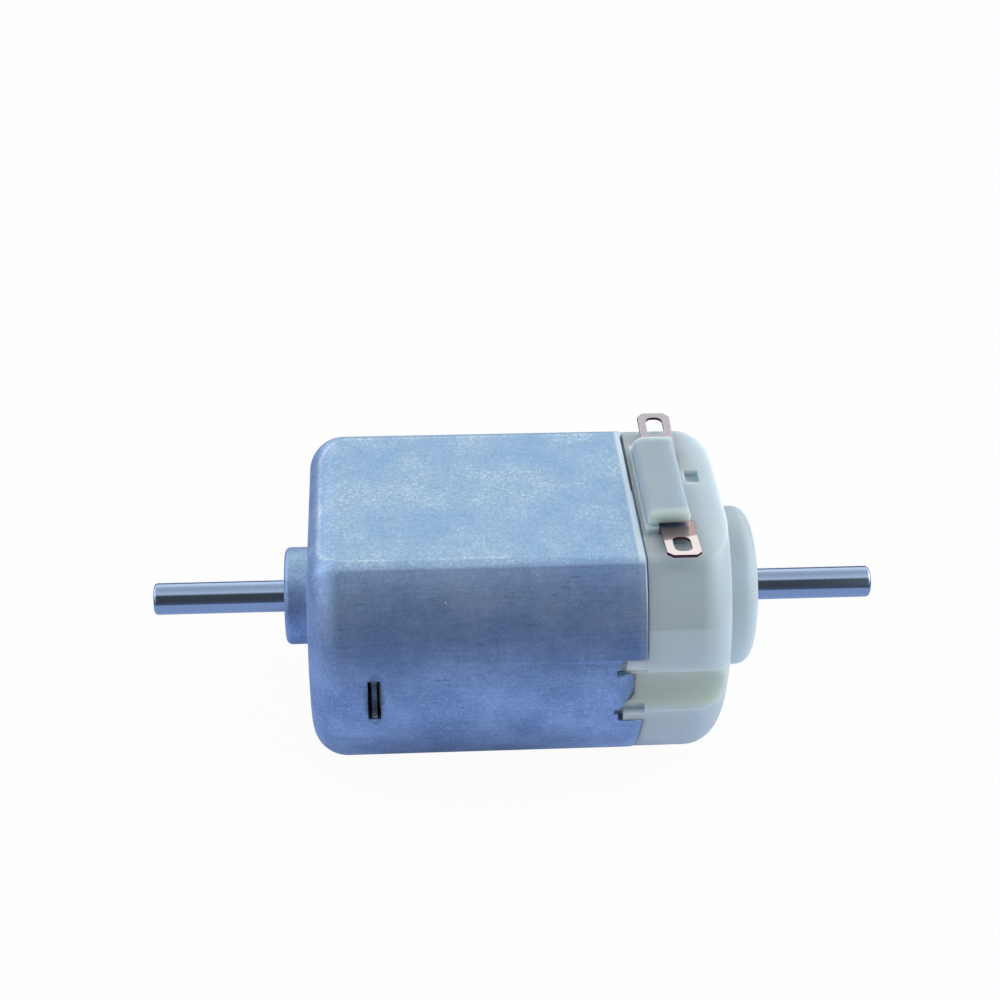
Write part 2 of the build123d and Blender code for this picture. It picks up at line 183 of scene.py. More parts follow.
class CanLooks(bpy.types.PropertyGroup):
    """Drawn steel can."""
    flat_colour: colour("Flats", "Plating on the two flats and the front", "9CBBD9")
    # The sides' colour is a darker, bluer copy of the flats' plating: painted shade for the bluish ground
    # that the sides reflect.
    shaded_side_colour: colour("Sides", "Plating where the sheet was drawn round the sides", "97B4E0")
    # Its white is partly worn metal and partly painted highlight on rounded edges.
    wear_and_highlight_colour: colour("Burnish", "White metal where the plating is burnished", "DCE9F2")
    rim_round: length("Rim rounding", "Radius of the can's sheared outer rim", 0.28)
    rim_step: length("Rim step", "Depth of the step in the top rim's back half", 0.15)
    edge_round: length("Edge rounding", "Radius of the pierced edges", 0.04)
    streak_width: length("Streak width", "Width of the drawing streaks along the sides", 0.14)
    streak_length: length("Streak length", "Length of the drawing streaks", 4.0)
    cloud_size: length("Cloud size", "Width of the plating's cloudy patches", 3.0)
    speck_size: length("Speck size", "Width of the plating's fine specks", 0.2)
    scratch_width: length("Scratch width", "Width of the handling scratches", 0.12)
    scratch_length: length("Scratch length", "Length of the handling scratches", 0.38)
    scratch_height: length("Scratch height", "Height below which the sides get scratched", 3.0)
    smudge_width: length("Smudge width", "Width of the dark rubbed marks on the sides", 0.15)
    smudge_length: length("Smudge length", "Length of the dark rubbed marks", 1.6)
    pit_spacing: length("Pit spacing", "Distance between bright pits", 0.9)
    # The burnished line and rim strip below are partly wear and partly painted highlight.
    flat_reach: length("Flat reach", "Half width of the flats, where their edge is burnished", 6.24)
    front_reach: length("Front reach", "Distance from the front face to the burnished line", 0.75)
    corner_reach: length("Corner reach", "Radius of the burnished line's front corners", 1.8)
    line_width: length("Line width", "Half width of the burnished line at the sides", 0.08)
    front_width: length("Front width", "Half width of the burnished line at the front", 0.26)
    rim_reach: length("Rim reach", "Width of the burnished strip at the rim", 0.55)
    stop_place: length("Stop place", "Distance from the front face to the lanced magnet stops", 3.85)
    stop_reach: length("Stop reach", "Half length along the can that holds a stop's strip", 0.3)
    stop_share: fraction("Stop share", "Share of its width that a sheared strip keeps", 0.62)
    # The grime round a stop is painted shade round its pushed-in strip.
    stop_shade_length: length("Grime length", "Half length along the can of the grime round a stop", 0.52)
    stop_shade_height: length("Grime height", "Half height of the grime round a stop", 1.65)
    stop_shade_colour: colour("Grime", "Tint of the grime round a stop, where white is none", "A6A9A0")


class CapLooks(bpy.types.PropertyGroup):
    """Moulded nylon end cap."""
    cool_colour: colour("Cool nylon", "Thin, light nylon near the edges", "BFCFD9")
    warm_colour: colour("Warm nylon", "Thick, milky nylon", "BDCBCF")
    # The thick wall's tint is painted shade on the cap's top and the boss's top.
    top_shade_colour: colour("Thick nylon", "Tint of the thick upper wall, where white is none", "EEEEEE")
    # The clear block's tint is painted shade on the raised block.
    block_shade_colour: colour("Clear block", "Tint of the block over the tags, clearer than the rest", "DFE4EA")
    channel_colour: colour("Channel", "Thin, yellowed nylon of the channel beside the tongue", "C8D4CB")
    # The boss's pale lower half is painted light.
    boss_light_colour: colour("Boss", "Pale lower half of the rear boss", "CEDCDF")
    # The block's pale ends are painted light, standing for light that comes through them.
    painted_end_light: colour("Block ends", "Pale ends of the block, where light comes through", "B6C8C2")
    edge_round: length("Edge rounding", "Radius of the mould's sharp edges", 0.08)
    face_place: length("Face place", "Distance from the front face to the cap's end face", 25.2)
    # The thick wall's height, length and fade place the painted shade on the cap's top.
    top_shade_height: length("Thick wall height", "Height above the axis where that wall begins", 4.05)
    top_shade_length: length("Thick wall length", "Distance from the front face where that wall ends", 24.2)
    top_shade_fade: length("Thick wall fade", "Length over which that wall's tint ends", 1.0)
    shade_height: length("Boss shade height", "Height above the axis where the boss darkens", 3.6)
    shade_fade: length("Boss shade fade", "Height over which the boss darkens", 1.0)
    # These place the painted light on the boss's lower half.
    boss_light_height: length("Boss pale height", "Height above the axis below which the boss gets paler", 3.5)
    boss_light_fade: length("Boss pale fade", "Height over which the boss gets paler", 5.5)
    end_reach: length("End reach", "Distance from the axis where the block's pale ends begin", 3.4)
    end_fade: length("End fade", "Length over which those ends get pale", 0.65)
    end_start: length("End start", "Height above the can where those ends begin", 0.2)
    end_full: length("End full", "Height above the can where those ends are fully pale", 0.6)
    end_light: number("End light", "Times farther that light travels in those ends", 1.5)
    channel_reach: length("Channel reach", "Half height of the channel beside the tongue", 1.5)
    soft_fade: length("Soft fade", "Width over which the channel and the boss take their tint", 0.3)
    sharp_fade: length("Sharp fade", "Width over which the thick wall and the block take their tint", 0.1)
    haze_size: length("Haze size", "Width of the cloudy patches in the nylon", 3.0)
    skin_size: length("Skin size", "Grain of the satin skin", 0.12)
    light_reach: length("Light reach", "Distance that light travels inside the nylon", 2.0)


class ShaftLooks(bpy.types.PropertyGroup):
    """Ground steel shaft."""
    steel_colour: colour("Steel", "Ground steel", "9FB5D4")
    tip_round: length("Tip rounding", "Radius of the turned tips", 0.22)
    line_spacing: length("Line spacing", "Distance between grinding lines", 0.18)
    line_depth: length("Line depth", "Depth of the grinding lines", 0.001)
    sides: IntProperty(name="Sides", description="Facets round the shaft", default=96, min=24)


class TagLooks(bpy.types.PropertyGroup):
    """Stamped copper solder tags."""
    copper_colour: colour("Copper", "Rolled copper strip", "DBD1D0")
    tarnish_colour: colour("Tarnish", "Handled copper, gone mauve", "C3BFC9")
    stain_size: length("Stain size", "Width of the tarnished patches", 1.4)
    # The brown inner end is a painted shadow of the block on the front tag.
    block_shadow_colour: colour("Inner end", "Copper gone brown where the nylon was moulded beside it", "A68C8B")
    block_shadow_reach: length("Inner reach", "Distance from the axis where the brown inner end stops", 5.55)
    block_shadow_fade: length("Inner fade", "Width over which the brown inner end stops", 0.15)
    block_shadow_slant: number("Inner slant", "Slope across the tag of the brown inner end's limit", 0.28)
    # The sheared edge's dark is painted shade on the tags' upright edges.
    edge_shade_colour: colour("Sheared edge", "Dark oxidised edge left by the shear", "5E4247")
    edge_round: length("Edge rounding", "Radius of the sheared edges", 0.05)
    roll_width: length("Roll width", "Width of the rolling lines", 0.12)
    roll_length: length("Roll length", "Length of the rolling lines", 2.0)


class InsideLooks(bpy.types.PropertyGroup):
    """Bushes, magnets, armature and brush gear."""
    bronze_colour: colour("Bronze", "Sintered bronze bushes", "9C7A4C")
    ferrite_colour: colour("Ferrite", "Ground ferrite magnets", "3A3B3E")
    spring_colour: colour("Spring steel", "Blued strip", "7C8088")
    leaf_colour: colour("Phosphor bronze", "Rolled leaf springs", "C08A58")
    carbon_colour: colour("Carbon", "Pressed brushes", "2A2A2C")
    fibre_colour: colour("Fibre", "Punched fibre washers and end plates", "6B3D22")
    phenolic_colour: colour("Phenolic", "Moulded sleeve and ring", "2E2620")
    core_colour: colour("Core steel", "Punched laminations", "6D7176")
    wire_colour: colour("Enamelled wire", "Copper wire under amber enamel", "A5501F")
    segment_colour: colour("Commutator copper", "Turned copper segments", "CC8A66")


class StageLooks(bpy.types.PropertyGroup):
    """Floor, lights and camera."""
    floor_colour: colour("Floor", "Pale, slightly blue studio floor", "E0E6F5")
    floor_glow: fraction("Floor glow", "Share of the floor's white that is its own light", 0.955)
    speckle_size: length("Speckle size", "Width of the paint's faint speckle", 4.0)
    # Metal sees a painted reflection of the floor: a bluish tint, a pool of light and a painted shadow
    # close to the motor.
    floor_reflection_tint: colour("Floor in metal", "Bluish ground that metal shows", "B8C4E0")
    pool_radius: length("Pool radius", "Radius of the lit pool that metal shows on the floor", 42.0)
    pool_fade: length("Pool fade", "Width over which that pool fades", 30.0)
    contact_shade_reach: length("Contact reach", "Radius of the darker ground close to the motor", 14.0)
    floor_radius: length("Floor radius", "Radius of the round floor", 600.0)
    cove_height: length("Cove height", "Height of the floor's upturned edge", 90.0)
    room_level: number("Room level", "Brightest band of the room light, white is 1", 1.25)
    left_level: number("Left level", "Light added by the room's left side, white is 1", 0.85)
    right_level: number("Right level", "Light added by the room's right side, white is 1", 0.9)
    wall_start: fraction("Wall start", "How far sideways a view goes where the room's sides begin", 0.36)
    wall_full: fraction("Wall full", "How far sideways a view goes where they reach their level", 0.8)
    side_level: number("Side level", "Brightness of the right side light, white is 1", 1.2)
    side_size: length("Side size", "Side of the square side light", 260.0)
    side_distance: length("Side distance", "Distance from the motor to the side light", 320.0)
    side_azimuth: angle("Side azimuth", "Turn of the side light from straight behind", 95)
    side_elevation: angle("Side elevation", "Height of the side light above the floor", 32)
    camera_place: FloatVectorProperty(name="Camera place", description="Where the camera stands", size=3,
                                      subtype="TRANSLATION", unit="LENGTH",
                                      default=(4.77 * MM, -89.15 * MM, 72.63 * MM))
    camera_yaw: angle("Camera yaw", "Turn to the right", 4.47)
    camera_pitch: angle("Camera pitch", "Tilt below the horizon", 36.23)
    camera_roll: angle("Camera roll", "Turn about the view line", 1.375)
    camera_lens: number("Camera lens", "Focal length in millimetres on a 36 mm sensor", 65.33)


class MotorLooks(bpy.types.PropertyGroup):
    """All the motor's finishes."""
    can: PointerProperty(type=CanLooks)
    cap: PointerProperty(type=CapLooks)
    shaft: PointerProperty(type=ShaftLooks)
    tags: PointerProperty(type=TagLooks)
    inside: PointerProperty(type=InsideLooks)
    stage: PointerProperty(type=StageLooks)


# Materials

def stretched(tree, place, long, wide, detail, turn=0.0):
    """Noise drawn out into strokes along X, or along X turned about Z."""
    strokes = add(tree, "Mapping", {"Vector": place, "Rotation": (0, 0, turn),
                                    "Scale": (long, wide, wide)}, vector_type="TEXTURE")
    noise = add(tree, "TexNoise", {"Vector": strokes.outputs[0], "Scale": 1.0, "Detail": detail})
    return noise.outputs["Fac"]


def uprightness(tree):
    """How squarely a face looks up or down, from 0 to 1."""
    normal = add(tree, "TexCoord").outputs["Normal"]
    height = add(tree, "SeparateXYZ", {0: normal}).outputs["Z"]
    return add(tree, "Math", {0: height}, operation="ABSOLUTE").outputs[0]


def plating_tone(tree, skin, looks):
    """Colour of the unworn plating: cloudy and specked; on the sides streaked, smudged, mottled and painted
    a darker, bluer shade.
    """
    # The sides take the darker, bluer copy: painted shade.
    plating = add(tree, "Mix", {0: skin.flatness, MIX_A: solid(looks.shaded_side_colour),
                                MIX_B: solid(looks.flat_colour)}, data_type="RGBA")
    patch = add(tree, "MapRange", {"Value": skin.clouds, "From Min": 0.35, "From Max": 0.65})
    tint = add(tree, "Mix", {0: patch.outputs[0], MIX_A: BLUE_PATCH, MIX_B: GREY_PATCH}, data_type="RGBA")
    toned = add(tree, "VectorMath", {0: plating.outputs[MIX_OUT], 1: tint.outputs[MIX_OUT]},
                operation="MULTIPLY")
    fine = add(tree, "MapRange", {"Value": skin.specks, "From Min": 0.3, "From Max": 0.75,
                                  "To Min": 0.86, "To Max": 1.17})
    streaks = stretched(tree, skin.place, looks.streak_length, looks.streak_width, 4.0)
    streak = add(tree, "MapRange", {"Value": streaks, "From Min": 0.3, "From Max": 0.7,
                                    "To Min": 0.93, "To Max": 1.06})
    smudges = stretched(tree, skin.place, looks.smudge_length, looks.smudge_width, 5.0)
    smudge = add(tree, "MapRange", {"Value": smudges, "From Min": 0.63, "From Max": 0.78,
                                    "To Min": 1.0, "To Max": 0.5})
    mottle = add(tree, "MapRange", {"Value": skin.clouds, "From Min": 0.38, "From Max": 0.62,
                                    "To Min": 0.9, "To Max": 1.1})
    side = streak.outputs[0]
    for marks in (smudge, mottle):
        side = add(tree, "Math", {0: side, 1: marks.outputs[0]}, operation="MULTIPLY").outputs[0]
    faded = add(tree, "Mix", {0: 0.6, VALUE_A: streak.outputs[0], VALUE_B: 1.0})
    even = add(tree, "Mix", {0: skin.flatness, VALUE_A: side, VALUE_B: faded.outputs[0]})
    level = add(tree, "Math", {0: fine.outputs[0], 1: even.outputs[0]}, operation="MULTIPLY")
    return add(tree, "VectorMath", {0: toned.outputs[0], "Scale": level.outputs[0]},
               operation="SCALE").outputs[0]


def painted_stop_shade(tree, skin, looks):
    """Tint of the painted shade that lies in an oval round each pushed-in lanced stop."""
    along = add(tree, "Math", {0: skin.spot["X"], 1: looks.stop_place}, operation="SUBTRACT")
    share = add(tree, "Math", {0: along.outputs[0], 1: looks.stop_shade_length}, operation="DIVIDE")
    rise = add(tree, "Math", {0: skin.spot["Z"], 1: looks.stop_shade_height}, operation="DIVIDE")
    offset = add(tree, "CombineXYZ", {"X": share.outputs[0], "Y": rise.outputs[0]})
    away = add(tree, "VectorMath", {0: offset.outputs[0]}, operation="LENGTH")
    stop_shaded = add(tree, "MapRange", {"Value": away.outputs["Value"], "From Min": 1.3, "From Max": 0.75})
    return add(tree, "Mix", {0: stop_shaded.outputs[0], MIX_A: WHITE, MIX_B: solid(looks.stop_shade_colour)},
               data_type="RGBA").outputs[MIX_OUT]


def handling_scratches(tree, skin, looks):
    """Share of the can that fine scratches take, most on the flats and low on the sides."""
    marks = 0.0
    for turn in SCRATCH_TURNS:
        strokes = stretched(tree, skin.place, looks.scratch_length, looks.scratch_width, 1.0, turn)
        mark = add(tree, "MapRange", {"Value": strokes, "From Min": 0.61, "From Max": 0.8})
        marks = add(tree, "Math", {0: mark.outputs[0], 1: marks}, operation="MAXIMUM").outputs[0]
    flats = add(tree, "MapRange", {"Value": skin.clouds, "From Min": 0.42, "From Max": 0.62,
                                   "To Min": 0.12, "To Max": 0.6})
    sides = add(tree, "MapRange", {"Value": skin.spot["Z"], "From Min": looks.scratch_height,
                                   "From Max": 0.0, "To Min": 0.08, "To Max": 0.55})
    handled = add(tree, "MapRange", {"Value": skin.flatness, "To Min": sides.outputs[0],
                                     "To Max": flats.outputs[0]})
    return add(tree, "Math", {0: marks, 1: handled.outputs[0]}, operation="MULTIPLY").outputs[0]


def bright_pits(tree, skin, looks):
    """Share of the can that scattered round pits of unlike sizes take."""
    pits = add(tree, "TexVoronoi", {"Vector": skin.place, "Scale": grain(looks.pit_spacing)})
    chance = add(tree, "SeparateXYZ", {0: pits.outputs["Color"]})
    ring = add(tree, "MapRange", {"Value": chance.outputs["X"], "From Min": 0.88, "To Max": 0.11})
    inside = add(tree, "Math", {0: ring.outputs[0], 1: pits.outputs["Distance"]}, operation="SUBTRACT")
    return add(tree, "MapRange", {"Value": inside.outputs[0], "From Max": 0.05}).outputs[0]


def chafed_and_highlit_flecks(tree, skin):
    """Share of the can that bright flecks take, in patches on the flats and all along their bends, where
    they are partly painted highlight.
    """
    # Along the bends the flecks are painted highlight on the rounded edges.
    bend = add(tree, "MapRange", {"Value": skin.upright, "From Min": 0.997, "From Max": 0.97,
                                  "To Max": 0.75})
    shoulder = add(tree, "MapRange", {"Value": skin.upright, "From Min": 0.76, "From Max": 0.84,
                                      "To Max": bend.outputs[0]})
    patchy = add(tree, "MapRange", {"Value": skin.clouds, "From Min": 0.48, "From Max": 0.62,
                                    "To Max": 0.8})
    chafed = add(tree, "Math", {0: shoulder.outputs[0], 1: patchy.outputs[0]}, operation="MAXIMUM")
    fleck = add(tree, "MapRange", {"Value": skin.specks, "From Min": 0.56, "From Max": 0.7,
                                   "To Max": chafed.outputs[0]})
    return add(tree, "Math", {0: fleck.outputs[0], 1: skin.flatness}, operation="MULTIPLY").outputs[0]


def burnish_and_edge_highlight(tree, skin, looks, rim):
    """Share of the can that is rubbed bright, along the flats' rounded outline and at the rim: partly wear
    and partly painted highlight on those rounded edges.
    """
    aside = add(tree, "Math", {0: skin.spot["Y"]}, operation="ABSOLUTE")
    beyond = add(tree, "Math", {0: aside.outputs[0], 1: looks.flat_reach - looks.corner_reach},
                 operation="SUBTRACT")
    before = add(tree, "Math", {0: looks.front_reach + looks.corner_reach, 1: skin.spot["X"]},
                 operation="SUBTRACT")
    corner = add(tree, "CombineXYZ", {"X": beyond.outputs[0], "Y": before.outputs[0]})
    outside = add(tree, "VectorMath", {0: corner.outputs[0], 1: (0, 0, 0)}, operation="MAXIMUM")
    reach = add(tree, "VectorMath", {0: outside.outputs[0]}, operation="LENGTH")
    apart = add(tree, "Math", {0: reach.outputs["Value"], 1: looks.corner_reach}, operation="SUBTRACT")
    off = add(tree, "Math", {0: apart.outputs[0]}, operation="ABSOLUTE")
    front = add(tree, "MapRange", {"Value": before.outputs[0], "From Min": 0.4 * looks.corner_reach,
                                   "From Max": looks.corner_reach}).outputs[0]
    width = add(tree, "MapRange", {"Value": front, "To Min": looks.line_width,
                                   "To Max": looks.front_width})
    line = add(tree, "MapRange", {"Value": off.outputs[0], "From Min": width.outputs[0], "From Max": 0.0})
    least = add(tree, "MapRange", {"Value": front, "To Min": 0.05, "To Max": 0.5})
    worn = add(tree, "MapRange", {"Value": skin.clouds, "From Min": 0.42, "From Max": 0.6,
                                  "To Min": least.outputs[0], "To Max": 1.0})
    broken = add(tree, "MapRange", {"Value": skin.specks, "From Min": 0.4, "From Max": 0.56,
                                    "To Min": 0.25, "To Max": worn.outputs[0]})
    rubbed = add(tree, "Math", {0: line.outputs[0], 1: broken.outputs[0]}, operation="MULTIPLY")
    bright = add(tree, "MapRange", {"Value": skin.flatness, "To Min": 0.2, "To Max": 0.8})
    # The strip at the rim is partly painted highlight on the rim's rounding.
    strip = add(tree, "MapRange", {"Value": skin.spot["X"], "From Min": rim - looks.rim_reach,
                                   "From Max": rim - 0.7 * looks.rim_reach,
                                   "To Max": bright.outputs[0]})
    return add(tree, "Math", {0: rubbed.outputs[0], 1: strip.outputs[0]}, operation="MAXIMUM").outputs[0]


def zinc_plate(looks, rim):
    # Bright zinc on drawn steel with a clear blue passivation: a soft mirror in cloudy patches of blue
    # and grey, full of fine specks, scratches and bright pits. It is streaked and smudged on the sides,
    # which are painted a darker, bluer shade than the flats, and painted shade lies round the lanced stops.
    # It is burnished to white metal in flecks, at the rim and where the flats end, partly as painted
    # highlight on those rounded edges. Its grit is too fine to show, so the specks are drawn coarser.
    made, tree, shader, place = material("zinc_plated_drawn_steel", Metallic=1.0)
    upright = uprightness(tree)
    flatness = add(tree, "MapRange", {"Value": upright, "From Min": 0.72, "From Max": 0.99})
    clouds = add(tree, "TexNoise", {"Vector": place, "Scale": grain(looks.cloud_size),
                                    "Detail": 5.0, "Roughness": 0.6})
    specks = add(tree, "TexNoise", {"Vector": place, "Scale": grain(looks.speck_size),
                                    "Detail": 3.0, "Roughness": 0.7})
    skin = SimpleNamespace(place=place, spot=add(tree, "SeparateXYZ", {0: place}).outputs,
                           upright=upright, flatness=flatness.outputs[0], clouds=clouds.outputs["Fac"],
                           specks=specks.outputs["Fac"])
    dulled = add(tree, "VectorMath", {0: plating_tone(tree, skin, looks),
                                      1: painted_stop_shade(tree, skin, looks)}, operation="MULTIPLY")
    # Bare metal and painted highlights share one white.
    bare_and_highlit = 0.0
    for marks in (handling_scratches(tree, skin, looks), bright_pits(tree, skin, looks),
                  chafed_and_highlit_flecks(tree, skin), burnish_and_edge_highlight(tree, skin, looks, rim)):
        bare_and_highlit = add(tree, "Math", {0: marks, 1: bare_and_highlit}, operation="MAXIMUM").outputs[0]
    tone = add(tree, "Mix", {0: bare_and_highlit, MIX_A: dulled.outputs[0], MIX_B: solid(looks.wear_and_highlight_colour)},
               data_type="RGBA")
    gloss = add(tree, "MapRange", {"Value": skin.clouds, "From Min": 0.3, "From Max": 0.7,
                                   "To Min": 0.58, "To Max": 0.5})
    relief = add(tree, "Bump", {"Height": skin.specks, "Distance": RELIEF})
    feed(tree, shader, tone, gloss, relief)
    return made


def nylon_zones(tree, place, looks, top):
    """Share of the cap that each zone takes, of differing nylon and of painted shade and light, over a can
    with its top at that height.
    """
    spot = add(tree, "SeparateXYZ", {0: place}).outputs
    level = add(tree, "Math", {0: spot["Z"]}, operation="ABSOLUTE").outputs[0]
    aside = add(tree, "Math", {0: spot["Y"]}, operation="ABSOLUTE").outputs[0]
    zones = {"cap": 1.0}
    # Each zone's name, the measure that it follows, where it begins and is full, and the zone it is in.
    for zone, measure, start, full, holder in (
            ("front", spot["X"], looks.top_shade_length, looks.top_shade_length - looks.top_shade_fade, "cap"),
            ("top_shade", spot["Z"], looks.top_shade_height, looks.top_shade_height + looks.sharp_fade, "front"),
            ("block", spot["Z"], top, top + looks.sharp_fade, "cap"),
            ("block_top", spot["Z"], top + looks.end_start, top + looks.end_full, "cap"),
            ("lit_block_ends", aside, looks.end_reach, looks.end_reach + looks.end_fade, "block_top"),
            ("body", spot["X"], looks.face_place, looks.face_place - looks.soft_fade, "cap"),
            ("channel", level, looks.channel_reach, looks.channel_reach - looks.soft_fade, "body"),
            ("boss", spot["X"], looks.face_place, looks.face_place + looks.soft_fade, "cap"),
            ("shaded_boss_top", spot["Z"], looks.shade_height, looks.shade_height + looks.shade_fade, "boss"),
            ("lit_boss_foot", spot["Z"], looks.boss_light_height, looks.boss_light_height - looks.boss_light_fade, "boss")):
        zones[zone] = add(tree, "MapRange", {"Value": measure, "From Min": start, "From Max": full,
                                             "To Max": zones[holder]}).outputs[0]
    return zones


def natural_nylon(looks, top):
    # Natural nylon as moulded: milky, with a satin skin and a little light passing through. It is cool
    # and warm in cloudy patches and yellowed in the channel. Painted shade darkens its top, the boss's top
    # and the block over the tags, and painted light pales the boss's lower half and the block's ends.
    made, tree, shader, place = material("natural_nylon_moulded", IOR=1.53, Subsurface_Weight=1.0)
    shader.inputs["Subsurface Radius"].default_value = SCATTER
    haze = add(tree, "TexNoise", {"Vector": place, "Scale": grain(looks.haze_size), "Detail": 3.0})
    patch = add(tree, "MapRange", {"Value": haze.outputs["Fac"], "From Min": 0.35, "From Max": 0.65})
    tone = add(tree, "Mix", {0: patch.outputs[0], MIX_A: solid(looks.cool_colour),
                             MIX_B: solid(looks.warm_colour)}, data_type="RGBA")
    zones = nylon_zones(tree, place, looks, top)
    # Painted shade darkens the cap's top, the boss's top and the block; painted light pales the block's
    # ends and the boss's lower half.
    for zone, blend, paint in (("top_shade", "MULTIPLY", looks.top_shade_colour),
                               ("shaded_boss_top", "MULTIPLY", looks.top_shade_colour),
                               ("block", "MULTIPLY", looks.block_shade_colour),
                               ("lit_block_ends", "MIX", looks.painted_end_light),
                               ("channel", "MIX", looks.channel_colour),
                               ("lit_boss_foot", "MIX", looks.boss_light_colour)):
        tone = add(tree, "Mix", {0: zones[zone], MIX_A: tone.outputs[MIX_OUT],
                                 MIX_B: solid(paint)}, data_type="RGBA", blend_type=blend)
    depth = add(tree, "Mix", {0: zones["lit_block_ends"], VALUE_A: looks.light_reach,
                              VALUE_B: looks.end_light * looks.light_reach})
    satin = add(tree, "TexNoise", {"Vector": place, "Scale": grain(looks.skin_size), "Detail": 2.0})
    gloss = add(tree, "MapRange", {"Value": satin.outputs["Fac"], "To Min": 0.36, "To Max": 0.5})
    relief = add(tree, "Bump", {"Height": satin.outputs["Fac"], "Distance": RELIEF})
    tree.links.new(depth.outputs[0], shader.inputs["Subsurface Scale"])
    feed(tree, shader, tone, gloss, relief)
    return made


def ground_steel(looks):
    # Centreless-ground steel: a clear mirror, dulled by fine lines that run round the shaft.
    made, tree, shader, place = material("ground_and_polished_steel", Metallic=1.0)
    rings = add(tree, "Mapping", {"Vector": place, "Scale": (grain(looks.line_spacing), 0, 0)})
    lines = add(tree, "TexNoise", {"Vector": rings.outputs[0], "Scale": 1.0, "Detail": 5.0})
    light = solid([1.08 * level for level in looks.steel_colour])
    dark = solid([0.9 * level for level in looks.steel_colour])
    tone = add(tree, "Mix", {0: lines.outputs["Fac"], MIX_A: dark, MIX_B: light}, data_type="RGBA")
    gloss = add(tree, "MapRange", {"Value": lines.outputs["Fac"], "To Min": 0.07, "To Max": 0.17})
    relief = add(tree, "Bump", {"Height": lines.outputs["Fac"], "Distance": looks.line_depth})
    feed(tree, shader, tone, gloss, relief)
    return made


def rolled_copper(name, looks, tarnish, block_shadowed, middle):
    # Pale rolled copper strip, stamped: a bright satin face with rolling lines and mauve tarnish. A painted
    # shadow of the block browns its inner end, and painted shade darkens its upright edges.
    made, tree, shader, place = material(name, Metallic=1.0)
    across = grain(looks.roll_width)
    rolled = add(tree, "Mapping", {"Vector": place, "Scale": (across, grain(looks.roll_length), across)})
    lines = add(tree, "TexNoise", {"Vector": rolled.outputs[0], "Scale": 1.0, "Detail": 3.0})
    stain = add(tree, "TexNoise", {"Vector": place, "Scale": grain(looks.stain_size), "Detail": 4.0})
    patch = add(tree, "MapRange", {"Value": stain.outputs["Fac"], "From Min": 0.45,
                                   "From Max": 0.75, "To Min": tarnish, "To Max": tarnish + 0.3})
    face = add(tree, "Mix", {0: patch.outputs[0], MIX_A: solid(looks.copper_colour),
                             MIX_B: solid(looks.tarnish_colour)}, data_type="RGBA")
    spot = add(tree, "SeparateXYZ", {0: place})
    slant = add(tree, "Math", {0: spot.outputs["X"], 1: looks.block_shadow_slant,
                               2: -looks.block_shadow_slant * middle}, operation="MULTIPLY_ADD")
    aside = add(tree, "Math", {0: slant.outputs[0], 1: spot.outputs["Y"]}, operation="SUBTRACT")
    # Painted shadow of the block over the tag's inner end.
    inner = add(tree, "MapRange", {"Value": aside.outputs[0], "From Min": looks.block_shadow_reach,
                                   "From Max": looks.block_shadow_reach - looks.block_shadow_fade,
                                   "To Max": block_shadowed})
    face = add(tree, "Mix", {0: inner.outputs[0], MIX_A: face.outputs[MIX_OUT],
                             MIX_B: solid(looks.block_shadow_colour)}, data_type="RGBA")
    # Painted shade on the upright edges, for the dark that they reflect.
    sheared = add(tree, "MapRange", {"Value": uprightness(tree), "From Min": 0.97, "From Max": 0.75})
    tone = add(tree, "Mix", {0: sheared.outputs[0], MIX_A: face.outputs[MIX_OUT],
                             MIX_B: solid(looks.edge_shade_colour)}, data_type="RGBA")
    gloss = add(tree, "MapRange", {"Value": lines.outputs["Fac"], "To Min": 0.12, "To Max": 0.22})
    relief = add(tree, "Bump", {"Height": lines.outputs["Fac"], "Distance": RELIEF})
    feed(tree, shader, tone, gloss, relief)
    return made


